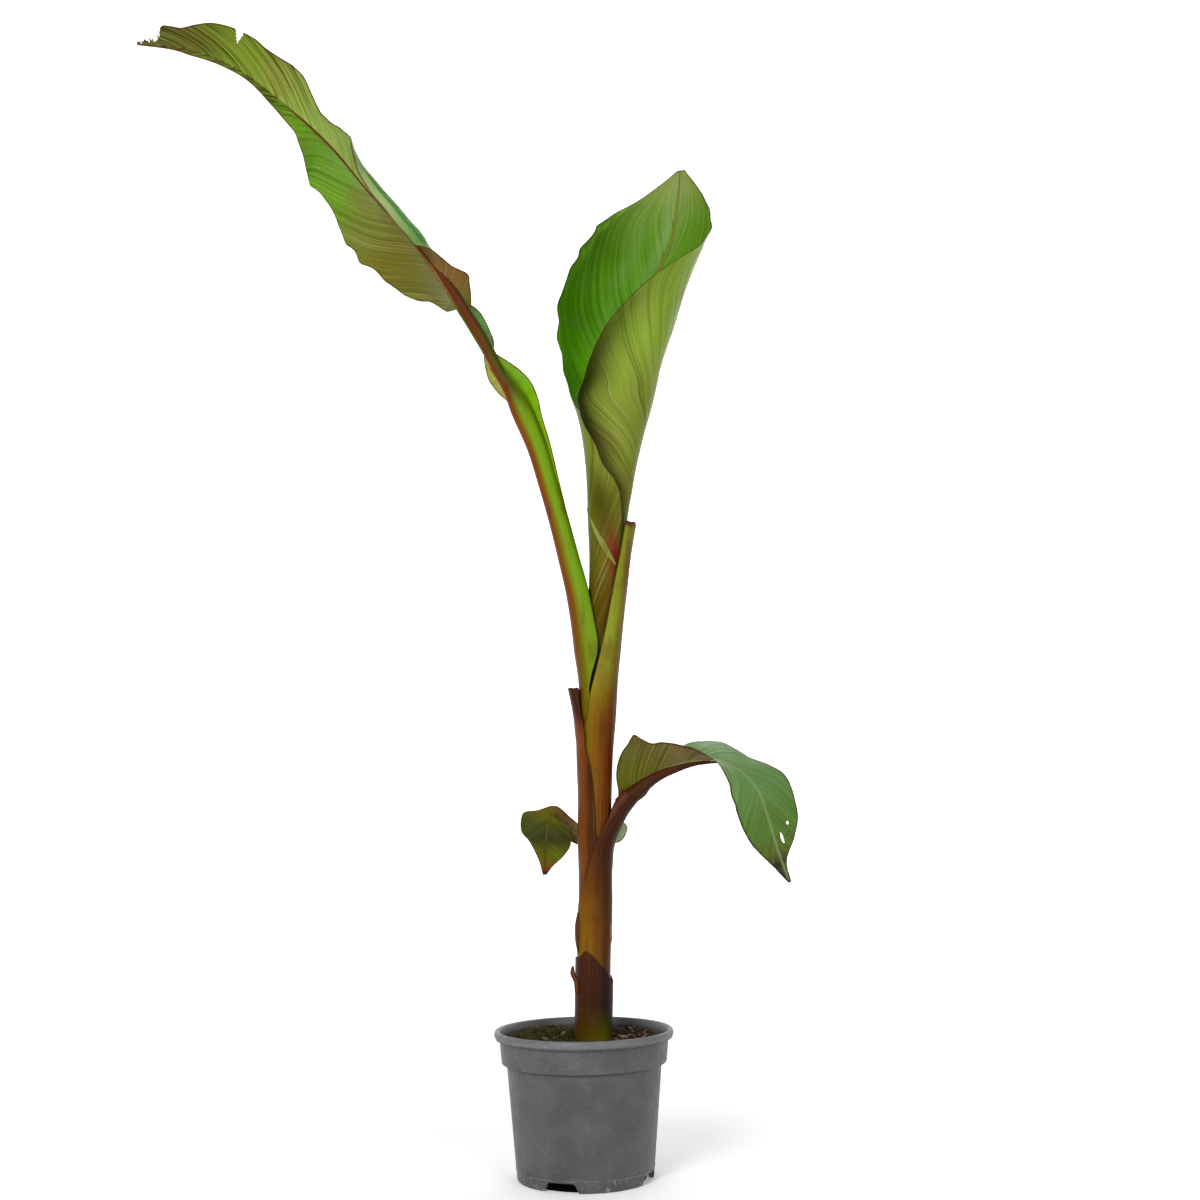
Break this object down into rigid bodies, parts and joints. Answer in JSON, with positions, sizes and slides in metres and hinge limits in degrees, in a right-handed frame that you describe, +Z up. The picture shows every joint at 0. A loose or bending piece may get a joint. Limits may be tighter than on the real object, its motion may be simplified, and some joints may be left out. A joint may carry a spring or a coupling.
{
  "type": "potted banana plant",
  "caption": "Young red-stemmed banana plant in a round grey nursery pot, with one tall arching leaf, a half-unrolled leaf, a drooping side leaf and cut-back old stalks.",
  "frame": {"origin": "centre of the pot's flat underside, on the floor", "axes": "+Z up along the pot's axis, +X to the plant's right as seen from the front, the side the drooping leaf grows on, and -Y towards the front, the side the half-unrolled leaf opens to"},
  "size_m": [0.7337, 0.19, 1.2679],
  "materials": {
    "pot_plastic": "scuffed grey",
    "soil": "rough bark compost",
    "stem_flesh": "moist",
    "maroon_sheath": "satin",
    "brown_sheath": "satin",
    "olive_sheath": "satin",
    "lime_stalk": "satin",
    "leaf_green": "glossy leaf",
    "leaf_dusky": "satin leaf"
  },
  "bodies": {
    "root": {"pot": "pot_plastic", "soil": "soil", "stem_core": "stem_flesh", "base_sheath": "maroon_sheath", "cut_left_stalk": "brown_sheath", "cut_right_stalk": "olive_sheath", "left_leaf_stalk": "lime_stalk", "left_leaf_blade": "leaf_green", "centre_leaf_stalk": "lime_stalk", "centre_leaf_blade": "leaf_green", "right_leaf_stalk": "maroon_sheath", "right_leaf_inner_blade": "leaf_dusky", "right_leaf_outer_blade": "leaf_green", "back_leaf_stalk": "maroon_sheath", "back_leaf_blade": "leaf_dusky"}
  },
  "joints": []
}
